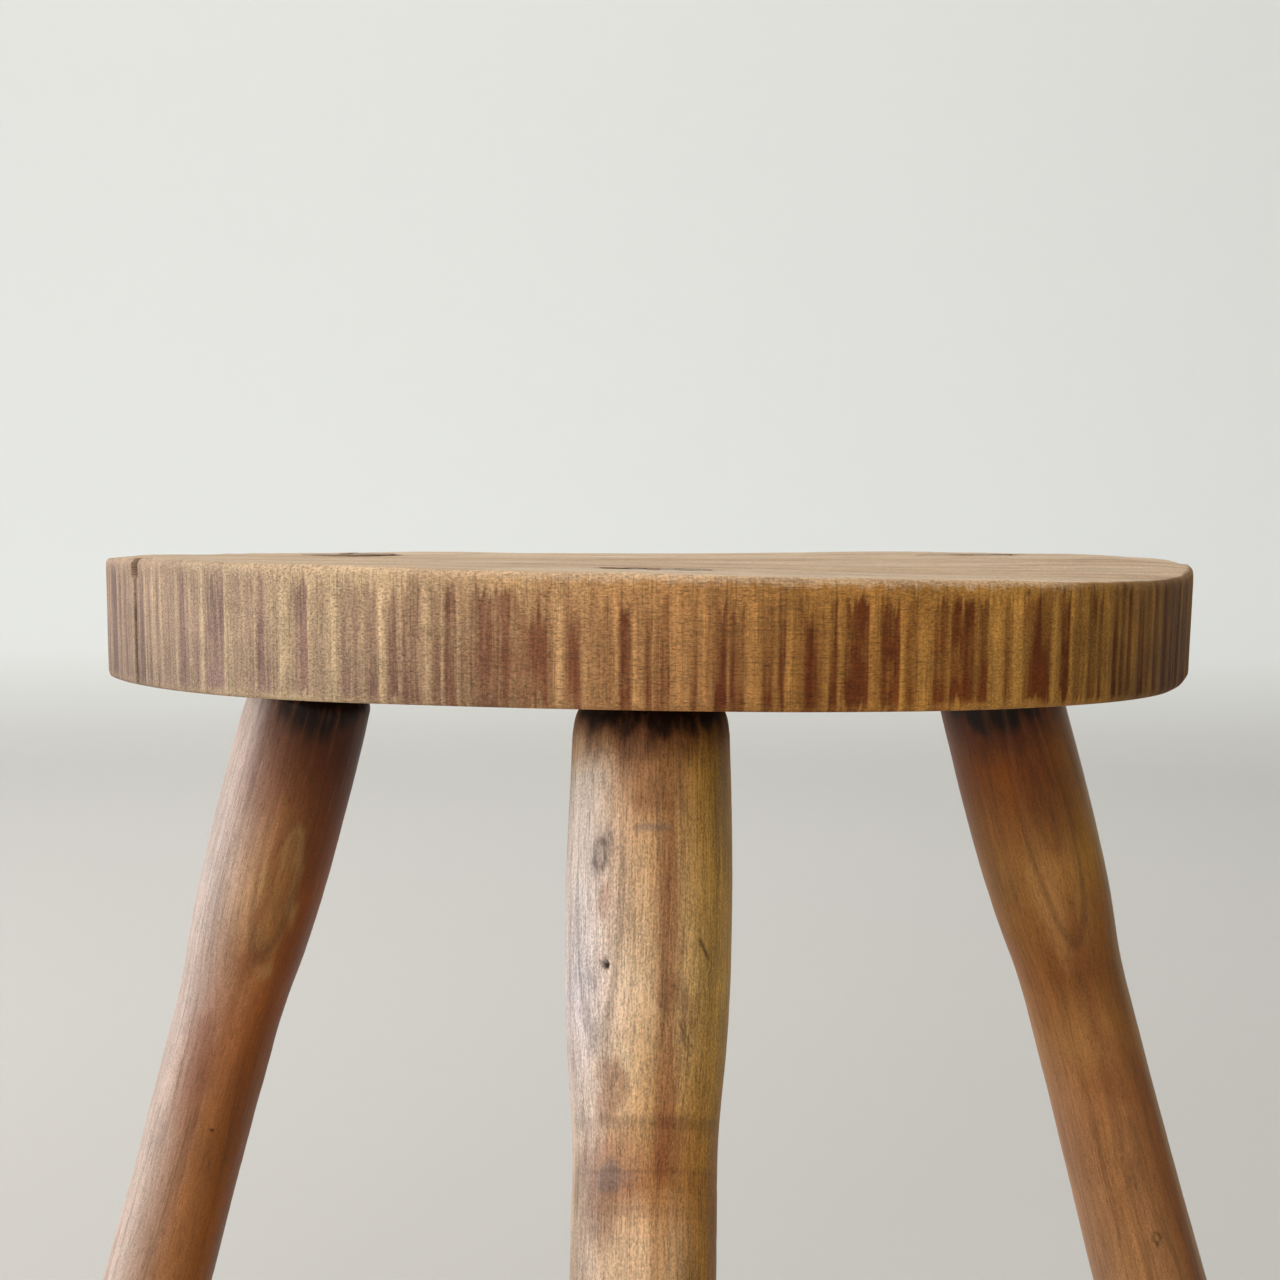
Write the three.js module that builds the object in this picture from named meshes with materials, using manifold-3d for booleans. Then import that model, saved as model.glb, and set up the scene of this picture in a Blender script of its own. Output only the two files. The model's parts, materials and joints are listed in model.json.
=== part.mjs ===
import * as THREE from 'three';
import { mergeVertices } from 'three/addons/utils/BufferGeometryUtils.js';
import Module from 'manifold-3d';

// A three-legged milking stool. Millimetres, +Z up, floor at z = 0, one leg towards the front (-Y).
// The seat is a single plank with its grain along X. Each leg is turned in one piece with a round
// tenon that passes right through the seat, where a wedge driven into a saw cut spreads it.

const wasm = await Module();
wasm.setup();

// Seat plank
const seatHeight = 320;
const seatCentre = new THREE.Vector2(-1.5, 39); // brings the whole footprint's middle to the origin
const seatRadius = 150;
const seatThickness = 30.5;
const undersideRise = 0.004; // per mm towards +X: the plank is thinner on that side
const topArris = 1.5;
const bottomArris = 3;
const rimDraft = 0.8; // the wall comes in by this much from top to bottom
const rimSegments = 90;
const arrisSegments = 3;

// The rim was cut by hand: it stands this far out or in of the round, over about this many degrees
// to either side of these directions.
const rimSwells = [
  { towards: -57, out: 9, spread: 18 },
  { towards: -106, out: -6.5, spread: 15 },
  { towards: -150, out: -2.5, spread: 14 },
  { towards: -14, out: -6, spread: 15 },
  { towards: 70, out: 2.5, spread: 25 },
  { towards: 122, out: -2.5, spread: 20 },
];

// Legs: the azimuth and radius of the axis where it meets the underside, the run outwards per mm of
// drop, the azimuth that the leg leans to, how drawn out its turning is, and how far down the axis
// its shoulder is.
const legs = [
  { side: 'front', azimuth: 269.1, radius: 113.6, splay: 0.347, lean: 268.5, stretch: 0.99, shoulder: 0 },
  { side: 'left', azimuth: 150, radius: 115.4, splay: 0.329, lean: 148.6, stretch: 1.1, shoulder: 8.5 },
  { side: 'right', azimuth: 29.8, radius: 115.5, splay: 0.338, lean: 29.9, stretch: 0.985, shoulder: 5.8 },
];

// Turned leg: radius against the distance down the axis from the underside. The shoulder is turned
// square to the axis with its edge rounded over. On a splayed leg only its outer side meets the seat,
// where it is trimmed to the underside, and the inner side stands open.
const shoulderRadius = 18;
const shoulderRounding = 3.5;
const legTurning = [
  [18.4, 17], [18.75, 30], [18.85, 48], [18.5, 68], [17.6, 84], [16.4, 95], [15.85, 106],
  [15.95, 124], [16.1, 150], [16.6, 180], [17.3, 212], [17.3, 240], [16.2, 275],
];
const legFoot = new THREE.Vector2(14, 325); // past the floor, which cuts the foot level
const legRings = 26;
const roundSegments = 28;

// Through tenon, its mortise and its wedge
const tenonRadius = 13.5;
const jointGap = 0.3;
const flushGap = 0.2; // the tenon, the wedge and the shoulder stop this far under the seat's faces
const wedgeDepth = 24;
const wedgeHalfWidth = 12.9;
const wedgeTop = 3.4;
const wedgeTip = 0.8;

const reach = 400; // larger than the stool, for cutting blocks
const through = 60; // longer than any path through the plank

const woods = {
  seat: new THREE.MeshStandardMaterial({ color: 0xb08a66, roughness: 0.6, metalness: 0 }),
  leg: new THREE.MeshStandardMaterial({ color: 0x9c7048, roughness: 0.55, metalness: 0 }),
  wedge: new THREE.MeshStandardMaterial({ color: 0x7a5636, roughness: 0.7, metalness: 0 }),
};

function toSolid(geometry) {
  const bare = geometry.clone();
  bare.deleteAttribute('normal');
  bare.deleteAttribute('uv');
  const merged = mergeVertices(bare);
  const corners = merged.index.array;
  const triangles = [];
  for (let i = 0; i < corners.length; i += 3) {
    const [a, b, c] = corners.subarray(i, i + 3);
    if (a !== b && b !== c && c !== a) triangles.push(a, b, c);
  }
  return new wasm.Manifold(new wasm.Mesh({
    numProp: 3,
    vertProperties: merged.attributes.position.array,
    triVerts: Uint32Array.from(triangles),
  }));
}

function toMesh(name, solid, material) {
  const { vertProperties, triVerts } = solid.getMesh();
  const geometry = new THREE.BufferGeometry();
  geometry.setAttribute('position', new THREE.BufferAttribute(vertProperties, 3));
  geometry.setIndex(new THREE.BufferAttribute(triVerts, 1));
  geometry.computeVertexNormals();
  const mesh = new THREE.Mesh(geometry, material);
  mesh.name = name;
  return mesh;
}

// A lathe turns about Y; the stool's pieces are turned about Z.
function turned(profile, segments) {
  return new THREE.LatheGeometry(profile, segments).rotateX(Math.PI / 2);
}

function rod(radius, from, to) {
  const profile = [
    new THREE.Vector2(0, from),
    new THREE.Vector2(radius, from),
    new THREE.Vector2(radius, to),
    new THREE.Vector2(0, to),
  ];
  return turned(profile, roundSegments);
}

// A block that fills everything above (side = 1) or below (side = -1) a height in the stool's frame
function halfSpace(height, side) {
  const block = new THREE.BoxGeometry(2 * reach, 2 * reach, reach);
  return block.translate(0, 0, height + side * reach / 2);
}

function rimRadius(angle) {
  let radius = seatRadius;
  for (const { towards, out, spread } of rimSwells) {
    const turn = THREE.MathUtils.radToDeg(angle) - towards;
    const away = THREE.MathUtils.euclideanModulo(turn + 180, 360) - 180;
    radius += out * Math.exp(-0.5 * (away / spread) ** 2);
  }
  return radius;
}

function arris(centreX, centreY, radius, startAngle) {
  const points = [];
  for (let i = 0; i <= arrisSegments; i += 1) {
    const angle = startAngle + (Math.PI / 2) * (i / arrisSegments);
    points.push(new THREE.Vector2(
      centreX + radius * Math.cos(angle),
      centreY + radius * Math.sin(angle),
    ));
  }
  return points;
}

// The plank's top face is z = 0 in its own frame.
function seatBlank() {
  const foot = seatRadius - rimDraft;
  const profile = [
    new THREE.Vector2(0, -seatThickness),
    ...arris(foot - bottomArris, bottomArris - seatThickness, bottomArris, -Math.PI / 2),
    ...arris(seatRadius - topArris, -topArris, topArris, 0),
    new THREE.Vector2(0, 0),
  ];
  const blank = turned(profile, rimSegments);
  const position = blank.attributes.position;
  for (let i = 0; i < position.count; i += 1) {
    const angle = Math.atan2(position.getY(i), position.getX(i));
    const stretch = rimRadius(angle) / seatRadius;
    const x = position.getX(i) * stretch;
    const y = position.getY(i) * stretch;
    const rise = position.getZ(i) < -seatThickness / 2 ? undersideRise * x : 0;
    position.setXYZ(i, x, y, position.getZ(i) + rise);
  }
  return blank;
}

// The frame of a leg: its origin where the axis meets the underside, Z up the leg, and Y as near as
// it can be to the stool's Y, across the seat's grain, which is how the wedge lies.
function legFrame({ azimuth, radius, splay, lean }) {
  const around = THREE.MathUtils.degToRad(azimuth);
  const towards = THREE.MathUtils.degToRad(lean);
  const offset = radius * Math.cos(around);
  const origin = new THREE.Vector3(
    seatCentre.x + offset,
    seatCentre.y + radius * Math.sin(around),
    seatHeight - seatThickness + undersideRise * offset,
  );
  const up = new THREE.Vector3(-splay * Math.cos(towards), -splay * Math.sin(towards), 1).normalize();
  const thick = new THREE.Vector3(0, 1, 0).cross(up).normalize();
  const across = up.clone().cross(thick);
  return new THREE.Matrix4().makeBasis(thick, across, up).setPosition(origin);
}

// Everything above the seat's underside, which it touches
function plankSpace() {
  const block = halfSpace(seatHeight - seatThickness, 1);
  const position = block.attributes.position;
  for (let i = 0; i < position.count; i += 1) {
    const rise = undersideRise * (position.getX(i) - seatCentre.x);
    position.setZ(i, position.getZ(i) + rise);
  }
  return block;
}

// The whole leg with its tenon, reaching past the floor and past the seat's top
function legBlank({ stretch, shoulder }) {
  const turning = [legFoot];
  for (const [radius, down] of legTurning.toReversed()) {
    turning.push(new THREE.Vector2(radius, down * stretch));
  }
  turning.push(new THREE.Vector2(shoulderRadius, shoulder + shoulderRounding));
  const outline = new THREE.SplineCurve(turning).getPoints(legRings);
  const edgeRadius = shoulderRadius - shoulderRounding;
  const profile = [
    new THREE.Vector2(0, -legFoot.y),
    ...outline.map(({ x, y }) => new THREE.Vector2(x, -y)).slice(0, -1),
    ...arris(edgeRadius, -shoulder - shoulderRounding, shoulderRounding, 0),
    new THREE.Vector2(tenonRadius, -shoulder),
    new THREE.Vector2(tenonRadius, through),
    new THREE.Vector2(0, through),
  ];
  return turned(profile, roundSegments);
}

// The wedge's taper seen along the saw cut, grown by a gap, and as long as the cut asks
function taper(top, gap, length) {
  const tip = -wedgeDepth - gap;
  const shape = new THREE.Shape([
    new THREE.Vector2(-wedgeTip / 2 - gap, tip),
    new THREE.Vector2(wedgeTip / 2 + gap, tip),
    new THREE.Vector2(wedgeTop / 2 + gap, 0),
    new THREE.Vector2(wedgeTop / 2 + gap, top),
    new THREE.Vector2(-wedgeTop / 2 - gap, top),
    new THREE.Vector2(-wedgeTop / 2 - gap, 0),
  ]);
  const prism = new THREE.ExtrudeGeometry(shape, { depth: length, bevelEnabled: false });
  return prism.translate(0, 0, -length / 2).rotateX(Math.PI / 2);
}

const stool = new THREE.Group();
const seatFrame = new THREE.Matrix4().makeTranslation(seatCentre.x, seatCentre.y, seatHeight);
let plank = toSolid(seatBlank().applyMatrix4(seatFrame));

for (const leg of legs) {
  const frame = legFrame(leg);
  const toLeg = frame.clone().invert();
  const inLeg = (block) => toSolid(block.applyMatrix4(toLeg));
  const aboveSeat = inLeg(halfSpace(seatHeight - flushGap, 1));

  // Length of the tenon's axis inside the plank, and the wedge's place at its top
  const up = new THREE.Vector3().setFromMatrixColumn(frame, 2);
  const start = new THREE.Vector3().setFromMatrixPosition(frame);
  const tenonLength = (seatHeight - start.z) / up.z;
  const atTop = (prism) => prism.translate(0, 0, tenonLength);

  const tenon = toSolid(rod(tenonRadius, -through, 2 * through));
  const blank = toSolid(legBlank(leg))
    .subtract(aboveSeat)
    .subtract(inLeg(halfSpace(0, -1)))
    .subtract(inLeg(plankSpace().translate(0, 0, -flushGap)).subtract(tenon));
  const sawCut = toSolid(atTop(taper(through, jointGap, 4 * tenonRadius)));
  const wedge = toSolid(atTop(taper(through, 0, 2 * wedgeHalfWidth))).subtract(aboveSeat);

  const joint = new THREE.Group();
  joint.applyMatrix4(frame);
  joint.add(toMesh(`leg_${leg.side}`, blank.subtract(sawCut), woods.leg));
  joint.add(toMesh(`wedge_${leg.side}`, wedge, woods.wedge));
  stool.add(joint);

  const mortise = rod(tenonRadius + jointGap, -through, 2 * through).applyMatrix4(frame);
  plank = plank.subtract(toSolid(mortise));
}

stool.add(toMesh('seat', plank, woods.seat));

export default stool;
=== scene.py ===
import itertools
import json
import math

import bpy
import numpy as np
from mathutils import Matrix, Vector
from mathutils.geometry import delaunay_2d_cdt


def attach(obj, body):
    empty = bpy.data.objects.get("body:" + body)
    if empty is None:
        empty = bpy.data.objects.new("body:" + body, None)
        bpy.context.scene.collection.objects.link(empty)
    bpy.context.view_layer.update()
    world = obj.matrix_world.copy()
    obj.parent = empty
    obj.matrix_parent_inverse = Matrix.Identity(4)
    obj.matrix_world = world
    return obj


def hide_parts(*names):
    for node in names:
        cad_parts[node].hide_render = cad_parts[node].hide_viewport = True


# An old wooden milking stool: a hand-cut plank seat on three turned legs. Everything is in metres,
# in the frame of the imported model, which gives the places of the seat, the legs and the wedges.

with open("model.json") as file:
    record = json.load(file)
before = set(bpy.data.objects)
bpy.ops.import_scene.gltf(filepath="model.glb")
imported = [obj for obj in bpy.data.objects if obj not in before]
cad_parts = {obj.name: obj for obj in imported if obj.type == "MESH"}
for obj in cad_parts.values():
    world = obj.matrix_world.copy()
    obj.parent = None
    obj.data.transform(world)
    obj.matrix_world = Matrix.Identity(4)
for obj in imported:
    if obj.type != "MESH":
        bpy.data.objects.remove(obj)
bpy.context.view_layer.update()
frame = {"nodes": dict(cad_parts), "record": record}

MM = 0.001
mounts = {mount["name"]: mount for mount in frame["record"]["mounts"]}
SEAT = np.array(mounts["seat_top"]["pos_m"])
SIDES = ("front", "left", "right")

# Usual radius of the rim and of a leg, in mm, for turning degrees into mm
RIM_RADIUS = 150
LEG_RADIUS = 18

# Camera: its place is measured from the middle of the seat's top
CAMERA_OFFSET = (-4.6 * MM, -702.5 * MM, 11.7 * MM)
CAMERA_PITCH = 2.74
CAMERA_ROLL = 0.45
LENS = 71.6
SENSOR = 36


# ---------------------------------------------------------------- noise and curves

PRIMES = np.array([73856093, 19349663, 83492791], np.uint64)
MIXER = np.uint64(2654435761)


def hashed(cells, seed):
    """A steady pseudo-random number from -1 to 1 for each row of whole numbers."""
    mixed = np.full(len(cells), seed * 7919 + 17, np.uint64)
    for column, prime in zip(cells.T, PRIMES):
        mixed = (mixed ^ (column.astype(np.int64).astype(np.uint64) * prime)) * MIXER
        mixed ^= mixed >> np.uint64(29)
    return (mixed & np.uint64(0xFFFFFF)).astype(float) / 2**23 - 1


def noise(points, size, seed, octaves=1):
    """Smooth noise of about -1 to 1. A lump is of the given size, one number or one per axis."""
    points = np.asarray(points, float)
    total = np.zeros(len(points))
    for octave in range(octaves):
        place = points / size * 2**octave
        cell = np.floor(place)
        ease = place - cell
        ease = ease * ease * (3 - 2 * ease)
        for corner in itertools.product((0, 1), repeat=points.shape[1]):
            weight = np.prod(np.where(corner, ease, 1 - ease), axis=1)
            total += weight * hashed(cell + corner, seed + 101 * octave) / 2**octave
    return total


def step(low, high, value):
    """0 below low, 1 above high, and smooth between. low may be the larger, which turns it round."""
    t = np.clip((value - low) / (high - low), 0, 1)
    return t * t * (3 - 2 * t)


def bell(value, width):
    return np.exp(-((value / width) ** 2))


def turned_by(angle, towards):
    """How many degrees angle is past towards, from -180 to 180."""
    return (angle - towards + 180) % 360 - 180


def rim_arc(degrees):
    """How many mm round the rim a turn is."""
    return degrees * math.pi / 180 * RIM_RADIUS


def leg_arc(degrees):
    """How many mm round a leg a turn is."""
    return degrees * math.pi / 180 * LEG_RADIUS


def stack(*columns):
    return np.stack(np.broadcast_arrays(*columns), axis=-1).reshape(-1, len(columns))


def linear(red, green, blue):
    """A colour given as on a screen, 0 to 255, as light."""
    screen = np.array([red, green, blue]) / 255
    return np.where(screen <= 0.04045, screen / 12.92, ((screen + 0.055) / 1.055) ** 2.4)


def blend(first, second, share):
    """The colour first, passing to second as share goes from 0 to 1."""
    share = np.clip(share, 0, 1)[:, None]
    return first * (1 - share) + second * share


# ---------------------------------------------------------------- what the CAD model gives

def cad_points(node):
    mesh = frame["nodes"][node].data
    flat = np.empty(3 * len(mesh.vertices))
    mesh.vertices.foreach_get("co", flat)
    return flat.reshape(-1, 3)


def smooth_rim(points, waves=22):
    """The rim's radius as a smooth function of the angle, through the CAD rim's corners."""
    at = np.arctan2(points[:, 1], points[:, 0])

    def terms(angle):
        turns = np.outer(angle, np.arange(1, waves + 1))
        return np.hstack([np.ones((len(turns), 1)), np.cos(turns), np.sin(turns)])

    shares = np.linalg.lstsq(terms(at), np.hypot(points[:, 0], points[:, 1]), rcond=None)[0]
    return lambda angle: (terms(angle.ravel()) @ shares).reshape(angle.shape)


seat_points = cad_points("seat") - SEAT
wall_top = seat_points[seat_points[:, 2] > -8 * MM, 2].min()
wall_top = np.abs(seat_points[:, 2] - wall_top) < 0.05 * MM
wall_top &= np.hypot(seat_points[:, 0], seat_points[:, 1]) > 135 * MM
rim_radius = smooth_rim(seat_points[wall_top])

# The underside is a plane that rises slightly towards +X.
below = seat_points[seat_points[:, 2] < -29 * MM]
below = below[np.hypot(below[:, 0], below[:, 1]) < 135 * MM]
UNDER_RISE, UNDER_MIDDLE = np.polyfit(below[:, 0], below[:, 2], 1)


def leg_axis(side):
    """(where the leg's axis meets the seat's underside, unit vector down the leg), from the CAD."""
    points = cad_points(f"leg_{side}")
    end = points[points[:, 2] > points[:, 2].max() - 0.05 * MM]
    top = (end.min(axis=0) + end.max(axis=0)) / 2
    down = np.array(mounts[f"foot_{side}_sole"]["pos_m"]) - top
    down /= np.linalg.norm(down)
    drop = top[2] - SEAT[2] - UNDER_MIDDLE - UNDER_RISE * (top[0] - SEAT[0])
    return top - down * drop / down[2], down


# ---------------------------------------------------------------- meshes

def make_object(name, points, faces, paint, gloss, grain, tool=None):
    """A smooth-shaded object with its painted colour, gloss and grain place at every point. tool is
    the place in the pattern of scores or growth rings, and in its third part how strong that is."""
    mesh = bpy.data.meshes.new(name)
    mesh.from_pydata(points.tolist(), [], faces)
    mesh.validate()
    colour = np.hstack([np.clip(paint, 0, 1), np.ones((len(points), 1))])
    mesh.attributes.new("paint", "FLOAT_COLOR", "POINT").data.foreach_set("color", colour.ravel())
    mesh.attributes.new("gloss", "FLOAT", "POINT").data.foreach_set("value", gloss)
    mesh.attributes.new("grain", "FLOAT_VECTOR", "POINT").data.foreach_set("vector", grain.ravel())
    if tool is not None:
        layer = mesh.attributes.new("tool", "FLOAT_VECTOR", "POINT")
        layer.data.foreach_set("vector", tool.ravel())
    mesh.shade_smooth()
    piece = bpy.data.objects.new(name, mesh)
    bpy.context.collection.objects.link(piece)
    return piece


def grid_faces(rows, columns, first=0, flip=False):
    """Quads over rows of points that each run once round, the last point meeting the first."""
    row, column = np.meshgrid(np.arange(rows - 1), np.arange(columns), indexing="ij")
    after = (column + 1) % columns
    quads = np.stack([
        row * columns + column, row * columns + after,
        (row + 1) * columns + after, (row + 1) * columns + column,
    ], axis=-1).reshape(-1, 4) + first
    return (quads[:, ::-1] if flip else quads).tolist()


def fan_faces(ring, centre, flip=False):
    after = np.roll(ring, -1)
    fan = np.stack([ring, after, np.full(len(ring), centre)], axis=-1)
    return (fan[:, ::-1] if flip else fan).tolist()


# ---------------------------------------------------------------- materials

def put(tree, kind, inputs=None, **settings):
    """A node with its inputs set, or linked where a socket is given."""
    made = tree.nodes.new(kind)
    for name, value in settings.items():
        setattr(made, name, value)
    for key, value in (inputs or {}).items():
        if isinstance(value, bpy.types.NodeSocket):
            tree.links.new(value, made.inputs[key])
        else:
            made.inputs[key].default_value = value
    return made


def lumps(tree, coordinates, size, detail=2.0, roughness=0.5):
    """Noise whose lumps have a size in millimetres along each axis of the coordinates."""
    scale = tuple(1 / (s * MM) for s in size)
    mapped = put(tree, "ShaderNodeMapping", {"Vector": coordinates, "Scale": scale})
    settings = {"Vector": mapped.outputs[0], "Scale": 1.0, "Detail": detail, "Roughness": roughness}
    return put(tree, "ShaderNodeTexNoise", settings).outputs["Fac"]


def ranged(tree, value, low, high, to_low, to_high):
    inputs = {"Value": value, 1: low, 2: high, 3: to_low, 4: to_high}
    made = put(tree, "ShaderNodeMapRange", inputs, interpolation_type="SMOOTHSTEP")
    return made.outputs[0]


def sum_of(tree, *terms):
    """The sum of (socket, factor) terms."""
    total = 0.0
    for socket, factor in terms:
        inputs = {0: socket, 1: factor, 2: total}
        total = put(tree, "ShaderNodeMath", inputs, operation="MULTIPLY_ADD").outputs[0]
    return total


def tinted(tree, colour, share, other, mode="MIX"):
    made = put(tree, "ShaderNodeMix", data_type="RGBA", blend_type=mode)
    for key, value in ((0, share), (6, colour), (7, other)):
        if isinstance(value, bpy.types.NodeSocket):
            tree.links.new(value, made.inputs[key])
        else:
            made.inputs[key].default_value = value
    return made.outputs[2]


def attribute(tree, name, output):
    return put(tree, "ShaderNodeAttribute", attribute_name=name).outputs[output]


def old_wood(name, streak, fleck, sandy, relief, speck=0.3, contrast=0.25, shine=0.3, coat=0.0, tooled=0.0,
             tool_size=(0.5, 16)):
    """Old wood under the painted colours: streaks and fibres along the grain, short dark flecks,
    sandy specks, and on a tooled surface the fine scores that the tool left across the grain."""
    material = bpy.data.materials.new(name)
    material.use_nodes = True
    tree = material.node_tree
    shader = tree.nodes["Principled BSDF"]
    grain = attribute(tree, "grain", "Vector")
    streaks = lumps(tree, grain, (2.6, 2.6, 55), detail=3)
    fibres = lumps(tree, grain, (0.45, 0.45, 9), detail=3, roughness=0.6)
    flecks = lumps(tree, grain, (0.32, 0.32, 3.4), detail=1)
    sand = lumps(tree, grain, (speck, speck, speck * 1.6), detail=3, roughness=0.6)
    cloud = lumps(tree, grain, (11, 11, 26), detail=3)
    dark_fleck = ranged(tree, flecks, 0.60, 0.70, 0.0, 1.0)

    warm = (0.30, 0.115, 0.045, 1)
    dark = (0.035, 0.015, 0.008, 1)
    colour = attribute(tree, "paint", "Color")
    colour = tinted(tree, colour, ranged(tree, streaks, 0.50, 0.72, 0.0, streak), warm)
    shade = sum_of(tree, (fibres, 0.6), (sand, sandy), (cloud, 0.4), (streaks, -0.35 * streak))
    middle = (1.0 + sandy - 0.35 * streak) / 2
    bright = ranged(tree, shade, middle - 0.26, middle + 0.26, 1 - contrast, 1 + contrast)
    grey = put(tree, "ShaderNodeCombineColor", {0: bright, 1: bright, 2: bright}).outputs[0]
    colour = tinted(tree, colour, 1.0, grey, "MULTIPLY")
    fleck_share = put(tree, "ShaderNodeMath", {0: dark_fleck, 1: fleck}, operation="MULTIPLY")
    colour = tinted(tree, colour, fleck_share.outputs[0], dark)

    height = sum_of(tree, (fibres, 0.6), (sand, 0.5), (dark_fleck, -0.35))
    if tooled:
        tool = attribute(tree, "tool", "Vector")
        strength = put(tree, "ShaderNodeSeparateXYZ", {"Vector": tool}).outputs[2]
        strength = put(tree, "ShaderNodeMath", {0: strength, 1: tooled}, operation="MULTIPLY")
        strength = strength.outputs[0]
        scores = lumps(tree, tool, (tool_size[0], tool_size[1], math.inf), detail=3, roughness=0.65)
        score_dark = ranged(tree, scores, 0.52, 0.30, 0.0, strength)
        colour = tinted(tree, colour, score_dark, dark)
        height = sum_of(tree, (height, 1.0), (scores, 0.9))
    bump = put(tree, "ShaderNodeBump", {"Strength": relief, "Distance": 0.25 * MM, "Height": height})
    rough = sum_of(tree, (attribute(tree, "gloss", "Fac"), 1.0), (sand, 0.10), (fibres, 0.08))
    tree.links.new(colour, shader.inputs["Base Color"])
    tree.links.new(rough, shader.inputs["Roughness"])
    tree.links.new(bump.outputs[0], shader.inputs["Normal"])
    shader.inputs["Specular IOR Level"].default_value = shine
    shader.inputs["Coat Weight"].default_value = coat
    shader.inputs["Coat Roughness"].default_value = 0.34
    return material


# ---------------------------------------------------------------- seat

FINE_COLUMNS = 1400
FINE_FROM, FINE_TO = -168, -18
COLUMNS = 2000
WALL_ROWS = 25
TOP_ARRIS_ROWS = 6
BOTTOM_ARRIS_ROWS = 5
RIM_DRAFT = 0.8 * MM
TOP_SPACING = 2.2 * MM
UNDER_SPACING = 3.6 * MM
MORTISE_POINTS = 96
MORTISE_RADIUS = 13.65 * MM
MOUTH_CHAMFER = 0.35 * MM

# The boldest of the flats that the cutting tool left in the rim's front, where dirt has darkened
# them: (direction in degrees, width in degrees, how dark)
BOLD_CUTS = [
    (-141, 1, 1.0), (-135, 2, 0.8), (-129, 1, 0.8), (-124, 1, 0.9), (-113, 2, 0.6), (-105, 4, 0.8),
    (-101, 2, 0.8), (-93, 1, 0.8), (-85, 1, 1.0), (-78, 1, 0.9), (-74, 2, 0.9), (-71, 1, 1.0),
    (-65, 2, 1.0), (-58, 1, 1.0),
]
FRONT_SPAN = (-160, -33)
# (direction, wood, dirt in the cuts) round the rim. Both colours hold painted light: paler and greyer on
# the left, partly a painted sheen, and darker on the right, partly painted shade
RIM_TONES = [
    (-180, (163, 137, 115), (120, 98, 90)),
    (-155, (163, 137, 115), (120, 98, 90)),
    (-135, (188, 162, 132), (142, 114, 104)),
    (-120, (200, 172, 136), (148, 116, 102)),
    (-111, (194, 160, 124), (132, 93, 74)),
    (-102, (199, 157, 111), (137, 88, 61)),
    (-94, (196, 145, 93), (123, 70, 43)),
    (-86, (183, 131, 77), (103, 53, 27)),
    (-79, (179, 126, 64), (100, 48, 20)),
    (-70, (184, 129, 62), (115, 62, 26)),
    (-61, (182, 130, 62), (110, 56, 20)),
    (-51, (158, 112, 48), (94, 45, 8)),
    (-36, (116, 75, 18), (69, 29, 2)),
    (-25, (132, 87, 14), (76, 38, 2)),
    (-14, (152, 106, 18), (94, 56, 8)),
    (40, (150, 110, 64), (88, 54, 30)),
    (110, (168, 134, 98), (104, 76, 58)),
    (180, (163, 137, 115), (120, 98, 90)),
]
# Small dark spots in the rim: (direction, mm down, mm across)
DARK_SPOTS = [(-59.0, 2.6, 1.5), (-31.0, 11.5, 1.5), (-92.0, 6.5, 1.0)]

# End check: a split that runs in from the rim along the grain, with a chip broken off at its mouth
CHECK_AT = -152.8
CHECK_LENGTH = 46 * MM


def cuts_and_ridges():
    """Dark cuts and pale ridges all round the rim, as (direction, width, strength): narrower in
    front, where the bold cuts lie among them."""
    chance = np.random.default_rng(11)
    dark, pale = list(BOLD_CUTS), []
    at = FRONT_SPAN[1]
    while at < FRONT_SPAN[1] + 360:
        in_front = at > FRONT_SPAN[0] + 360
        broad = chance.random() > (1.0 if in_front else 0.85)
        width = chance.uniform(2.5, 4.5) if broad else chance.uniform(0.5, 1.5 if in_front else 2.0)
        dark.append((at + width / 2, width, chance.uniform(0.3, 0.8 if in_front else 1.0)))
        at += width + chance.uniform(0.1, 0.5)
        if chance.random() < 0.55:
            ridge = chance.uniform(0.3, 0.9)
            pale.append((at + ridge / 2, ridge, chance.uniform(0.4, 0.9)))
            at += ridge + chance.uniform(0.1, 0.7)
    return dark, pale


def reach_up(towards):
    """How far under the top face the dark cuts may start: least at the rim's two ends."""
    return (1.6 + 5.4 * bell(turned_by(towards, -92), 32)) * MM


def stripes(angle, marks, soft, chance, down, tall):
    """How strongly the marks show at each point: the strongest of them, each starting and ending
    at its own height, with one crisp side and one soft side."""
    shown = np.zeros(len(angle))
    rag = noise(stack(angle), 0.3, 45, 2)
    for towards, width, strength in marks:
        start = chance.uniform(0.2, 1.0) * reach_up(towards)
        end = chance.uniform(-3.0, 1.8) * MM
        crisp = 0.16 if chance.random() < 0.6 else 0.16 + soft * width
        faint = 0.16 + soft * width
        near = np.abs(turned_by(angle, towards)) < width / 2 + faint + crisp
        off = turned_by(angle[near], towards)
        across = step(width / 2 + crisp / 2, width / 2 - crisp / 2, off)
        across *= step(-width / 2 - faint / 2, -width / 2 + faint / 2, off)
        ragged = down[near] + 2.4 * MM * rag[near]
        fade = 1.6 * MM + 12 * MM * bell(turned_by(towards, -84), 26) * chance.random() ** 2
        upright = step(start - 0.5 * MM, start + fade, ragged)
        upright *= step(tall[near] - end + 0.8 * MM, tall[near] - end - 0.8 * MM, ragged)
        shown[near] = np.maximum(shown[near], strength * across * upright)
    return shown


def top_warp(x, y):
    """How far the worn, twisted top stands off the flat CAD face, seen from the seat's middle."""
    near = step(-20 * MM, -110 * MM, y)
    far = step(-70 * MM, 60 * MM, y)
    to_right = (x + np.hypot(x, 20 * MM)) / 2
    back = to_right * (0.0045 + 0.0105 * far)
    front = -0.6 * MM - 0.0125 * x
    return near * front + (1 - near) * back - 1.3 * MM * step(122 * MM, 152 * MM, x)


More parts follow.
